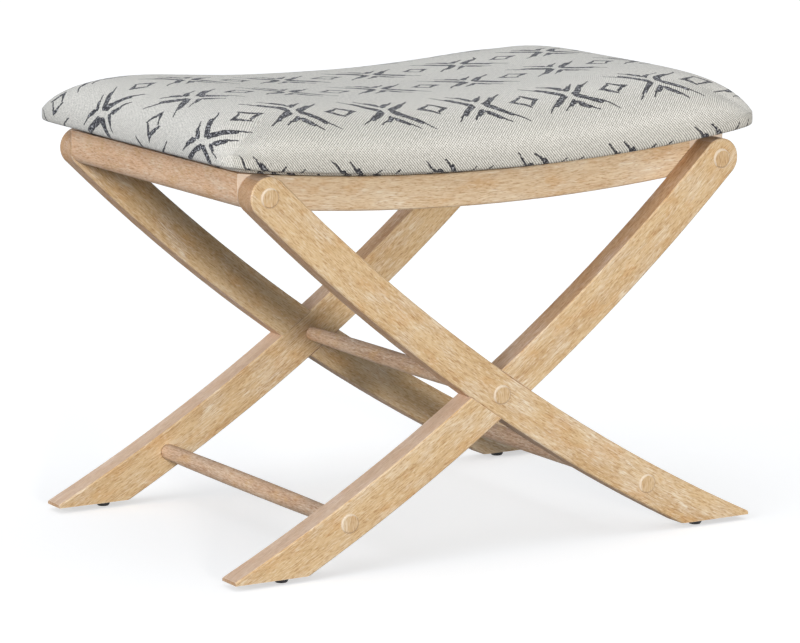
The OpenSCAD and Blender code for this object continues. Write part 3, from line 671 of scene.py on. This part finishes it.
# The drawn cloth: a half-drop lattice, a traditional kind. Each crossing is made of four
# chevrons, open to the left, right, top and bottom, and a small lozenge lies between two of them.
# A stroke is given by its start, its end and its widths there, for a quarter of a crossing.
ROW_PITCH = 117.0
ROW_START = -61.0
CELL = 116.0
STROKES = [((9, 1.5), (42, 34), 2.6, 0.9), ((9, 3), (27, 22), 4.6, 3.4), ((1, 15), (20, 34), 2.2, 0.9),
           ((2, 17), (10, 26), 3.9, 2.8)]
cloth, takes, gives = new_group("drawn_cloth", [("Place", "Vector", None)],
                                [("Ink", "Float"), ("Core", "Float")])
waver = stray(cloth, takes["Place"], 0.03, 1, 0.5, 11.0)
shiver = stray(cloth, takes["Place"], 0.22, 2, 0.6, 3.0)
drawn = vector(cloth, "ADD", takes["Place"], vector(cloth, "ADD", waver, shiver))
drawn_parts = split(cloth, drawn)
past_row = calc(cloth, "SUBTRACT", drawn_parts[1], ROW_START - ROW_PITCH / 2)
row_run = calc(cloth, "DIVIDE", past_row, ROW_PITCH)
row_id = calc(cloth, "FLOOR", row_run)
up_row = calc(cloth, "MULTIPLY", centred(cloth, calc(cloth, "FRACT", row_run)), ROW_PITCH)
half_drop = calc(cloth, "MULTIPLY", row_id, 0.5)
cell_run = calc(cloth, "ADD", calc(cloth, "DIVIDE", drawn_parts[0], CELL), half_drop)
along_row = calc(cloth, "MULTIPLY", centred(cloth, calc(cloth, "FRACT", cell_run)), CELL)
leaning = calc(cloth, "MULTIPLY", calc(cloth, "SIGN", up_row), calc(cloth, "SIGN", along_row))
side_x = calc(cloth, "ABSOLUTE", along_row)
skew = calc(cloth, "ADD", 1.0, calc(cloth, "MULTIPLY", leaning, 0.13))
side_y = calc(cloth, "MULTIPLY", calc(cloth, "ABSOLUTE", up_row), skew)
edge_place = join(cloth, side_x, side_y, 0.0)
inside = None
for start, end, first_w, last_w in STROKES:
    one = use(cloth, stroke, Place=edge_place, Start=(*start, 0), End=(*end, 0), First=first_w,
              Last=last_w)["Inside"]
    inside = one if inside is None else calc(cloth, "MAXIMUM", inside, one)
eye_x = calc(cloth, "SUBTRACT", CELL / 2, side_x)
off_lozenge = calc(cloth, "SUBTRACT", total(cloth, (eye_x, 0.68), (side_y, 0.80)), 10.0)
eye_width = calc(cloth, "ADD", 1.5, calc(cloth, "MULTIPLY", eye_x, 0.10))
eye = calc(cloth, "SUBTRACT", eye_width, calc(cloth, "ABSOLUTE", off_lozenge))
inside = calc(cloth, "MAXIMUM", inside, eye)
grit = noise(cloth, takes["Place"], 0.6, 3, 0.7)
ragged = calc(cloth, "ADD", inside, calc(cloth, "MULTIPLY", centred(cloth, grit), 4.0))
cloth.links.new(ramp(cloth, ragged, -0.3, 0.4), gives["Ink"])
hatch = stretched(cloth, takes["Place"], (0.32, 0.42, 1), 2, 0.7)
cloth.links.new(calc(cloth, "MULTIPLY", ramp(cloth, inside, 0.9, 1.5), ramp(cloth, hatch, 0.51, 0.65)),
                gives["Core"])

# A twill of cream and grey threads, in millimetres: diagonal lines that lean one way near the
# front and back edges and turn over above them. They are fainter on the top and over the ends.
WALE_ALONG = 3.3
WALE_LOW = 3.95
WALE_HIGH = 3.3
WALE_TURN = 240.0
TURN_BLEND = 16
END_FAINT = (270.0, 340.0)
TOP_FAINT = (215.0, 165.0)
cover_cloth, tree, shader = new_material("drawn_twill", 0.9, 0.15, 0.1)
front = add(tree, "ShaderNodeAttribute", attribute_name="cloth_front").outputs["Vector"]
end = add(tree, "ShaderNodeAttribute", attribute_name="cloth_end").outputs["Vector"]
fold = add(tree, "ShaderNodeAttribute", attribute_name="cloth_fold").outputs["Fac"]
over_end = calc(tree, "GREATER_THAN", fold, 0.0)
flat = add(tree, "ShaderNodeMix", {0: over_end, 4: front, 5: end}, data_type="VECTOR").outputs[1]
parts = split(tree, flat)
drawing = use(tree, cloth, Place=flat)
rise = calc(tree, "ABSOLUTE", parts[1])
turned = ramp(tree, rise, WALE_TURN + TURN_BLEND, WALE_TURN - TURN_BLEND)
loose = calc(tree, "MULTIPLY", centred(tree, noise(tree, flat, 0.28, 2, 0.6)), 0.5)
run = calc(tree, "ADD", calc(tree, "DIVIDE", parts[0], WALE_ALONG), loose)
wales = []
for pitch in (-WALE_LOW, WALE_HIGH):
    slanted = calc(tree, "ADD", run, calc(tree, "DIVIDE", rise, pitch))
    wales.append(calc(tree, "SINE", calc(tree, "MULTIPLY", slanted, 2 * math.pi)))
wale = mix_value(tree, turned, *wales)
weft = mix_value(tree, turned, *wales[::-1])
slub = stretched(tree, flat, (0.35, 1.1, 1), 3, 0.65)
on_end = ramp(tree, calc(tree, "ABSOLUTE", parts[0]), *END_FAINT)
faint = calc(tree, "MULTIPLY", over_end, on_end)
faint = calc(tree, "MAXIMUM", faint, ramp(tree, rise, *TOP_FAINT))
strength = mix_value(tree, faint, 0.75, 0.3)
thread = total(tree, (wale, strength), (weft, 0.18), (centred(tree, slub), 1.1))
weave = blend_colour(tree, ramp(tree, thread, -0.75, 0.20), shade(160, 157, 147), shade(237, 233, 225))
speck = stretched(tree, flat, (0.5, 0.15, 1), 1, 0.6)
specks = ramp(tree, speck, 0.35, 0.6, 0.25, 0.0)
weave = blend_colour(tree, specks, weave, shade(190, 190, 190), "MULTIPLY")
crumbs = ramp(tree, noise(tree, flat, 0.5, 1, 0.5), 0.40, 0.58, 0.36, 0.0)
crumbs = calc(tree, "MULTIPLY", crumbs, faint)
weave = blend_colour(tree, crumbs, weave, shade(205, 205, 207), "MULTIPLY")
wash = ramp(tree, noise(tree, flat, 0.012, 2, 0.5), 0.3, 0.7, 0.0, 0.10)
weave = blend_colour(tree, wash, weave, shade(210, 210, 210), "MULTIPLY")
ink = blend_colour(tree, drawing["Core"], shade(42, 42, 48), shade(190, 190, 194))
ink = blend_colour(tree, ramp(tree, thread, 0.1, 0.6, 0.0, 0.16), ink, shade(160, 159, 160))
tree.links.new(blend_colour(tree, drawing["Ink"], weave, ink), shader.inputs["Base Color"])
raise_surface(tree, shader, thread, 0.00035)
cushion_mesh.materials.append(cover_cloth)
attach(cushion, "root")
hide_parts("cushion_cover", "wadding", "foam_pad")

# ---------------------------------------------------------------- Dust cover
# Thin black non-woven cloth stretched under the seat board, inside the rails, and held between
# the board and the corner blocks.
DUST_T = 0.0008
dust_low, dust_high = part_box("dust_cover")
dust_size = (dust_high.x - dust_low.x, dust_high.y - dust_low.y)
bpy.ops.object.select_all(action="DESELECT")
bpy.ops.mesh.primitive_grid_add(x_subdivisions=72, y_subdivisions=48, size=1)
dust = bpy.context.object
dust.name = dust.data.name = "dust_sheet"
for corner in dust.data.vertices:
    x, y = corner.co.x * dust_size[0], corner.co.y * dust_size[1]
    corner.co = (x, y, float(saddle_z(x, -DUST_T)))
thicken = dust.modifiers.new("thickness", "SOLIDIFY")
thicken.thickness = DUST_T * 0.95
thicken.offset = 1.0
bpy.ops.object.modifier_apply(modifier="thickness")
bpy.ops.object.shade_smooth()
dust_cloth, tree, shader = new_material("dust_cloth", 0.95, 0.1)
place = object_place(tree)
fibres = noise(tree, place, 1400, 3, 0.7)
bonds = noise(tree, place, 420, 0, 0.5)
tree.links.new(blend_colour(tree, ramp(tree, fibres, 0.3, 0.7), shade(24, 24, 25), shade(48, 48, 50)),
               shader.inputs["Base Color"])
raise_surface(tree, shader, calc(tree, "ADD", fibres, bonds), 0.0002)
dust.data.materials.append(dust_cloth)
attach(dust, "root")
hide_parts("dust_cover")


# ---------------------------------------------------------------- Floor and light
# A plain white studio floor under soft light from the camera's side and from all round. What
# looks at the floor and the world sees them white, and the light they give back is plain.
def looking(tree):
    """1 for a ray from the camera, or one that a shiny or a clear surface sends on."""
    rays = add(tree, "ShaderNodeLightPath").outputs
    sent_on = calc(tree, "MAXIMUM", rays["Is Glossy Ray"], rays["Is Transmission Ray"])
    return calc(tree, "MAXIMUM", rays["Is Camera Ray"], sent_on)


bpy.ops.object.select_all(action="DESELECT")
bpy.ops.mesh.primitive_plane_add(size=60)
floor = bpy.context.object
floor.name = "floor"
floor_white = bpy.data.materials.new("floor_white")
floor_white.use_nodes = True
tree = floor_white.node_tree
tree.nodes.clear()
seen = looking(tree)
plain = add(tree, "ShaderNodeBsdfDiffuse", {"Color": (0.14, 0.135, 0.13, 1)}).outputs[0]
shadowed = add(tree, "ShaderNodeBsdfDiffuse", {"Color": (0.62, 0.62, 0.62, 1)}).outputs[0]
glow = add(tree, "ShaderNodeEmission", {"Color": (1, 1, 1, 1), "Strength": 0.56}).outputs[0]
shown = add(tree, "ShaderNodeAddShader", {0: shadowed, 1: glow}).outputs[0]
mixed = add(tree, "ShaderNodeMixShader", {0: seen, 1: plain, 2: shown}).outputs[0]
add(tree, "ShaderNodeOutputMaterial", {"Surface": mixed})
floor.data.materials.append(floor_white)

world = bpy.data.worlds.new("studio")
bpy.context.scene.world = world
world.use_nodes = True
tree = world.node_tree
tree.nodes.clear()
seen = looking(tree)
soft = add(tree, "ShaderNodeBackground", {"Color": (0.925, 0.96, 1, 1), "Strength": 0.54}).outputs[0]
white = add(tree, "ShaderNodeBackground", {"Color": (1, 1, 1, 1), "Strength": 1.0}).outputs[0]
mixed = add(tree, "ShaderNodeMixShader", {0: seen, 1: soft, 2: white}).outputs[0]
add(tree, "ShaderNodeOutputWorld", {"Surface": mixed})


def light(name, strength, colour, width, tilt=0, turn=0):
    """A far lamp of this width in degrees, tilted from straight above and turned."""
    made = bpy.data.lights.new(name, "SUN")
    made.energy = math.pi * strength
    made.color = colour
    made.angle = math.radians(width)
    lamp = bpy.data.objects.new(name, made)
    bpy.context.collection.objects.link(lamp)
    lamp.rotation_euler = (math.radians(tilt), 0, math.radians(turn))


# A low warm light from the front, a wide cooler one from the left end, and a broad one from above
light("front_light", 0.61, (1, 0.97, 0.915), 6, 82.5, -12)
light("side_light", 0.49, (0.88, 0.93, 1), 35, 74, -80)
light("top_light", 0.12, (0.9, 0.94, 1), 60)

bpy.context.scene.view_settings.view_transform = "Standard"
